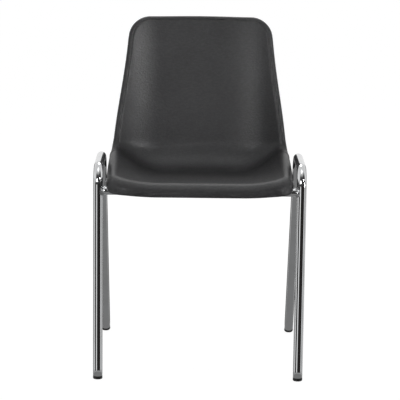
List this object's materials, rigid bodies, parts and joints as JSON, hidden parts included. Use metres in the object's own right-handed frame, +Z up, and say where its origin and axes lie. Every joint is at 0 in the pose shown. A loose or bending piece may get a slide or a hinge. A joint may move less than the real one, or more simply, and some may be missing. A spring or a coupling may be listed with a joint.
{
  "type": "stacking shell chair",
  "caption": "Stacking chair: a dark grained plastic shell, seat and back in one, hung between bent chrome tube side frames with raked rear legs.",
  "frame": {"origin": "on the floor, under the middle of the chair's overall length and width", "axes": "+Z up; the chair faces -Y; +X is the sitter's left"},
  "size_m": [0.487, 0.5115, 0.799],
  "materials": {
    "shell_plastic": "fine leather grain, satin",
    "chrome": "bright chrome plate",
    "glide_plastic": "moulded, satin",
    "zinc": "bright zinc plate",
    "rubber": "matt",
    "brass": "turned and knurled"
  },
  "bodies": {
    "root": {"seat_shell": "shell_plastic", "left_side_frame": "chrome", "right_side_frame": "chrome", "front_cross_tube": "chrome", "rear_cross_tube": "chrome", "front_left_glide": "glide_plastic", "front_right_glide": "glide_plastic", "rear_left_glide": "glide_plastic", "rear_right_glide": "glide_plastic", "front_left_saddle": "zinc", "front_right_saddle": "zinc", "rear_left_saddle": "zinc", "rear_right_saddle": "zinc", "front_left_pad": "rubber", "front_right_pad": "rubber", "rear_left_pad": "rubber", "rear_right_pad": "rubber", "seat_inserts": "brass", "seat_washers": "zinc", "seat_screws": "zinc"}
  },
  "joints": []
}
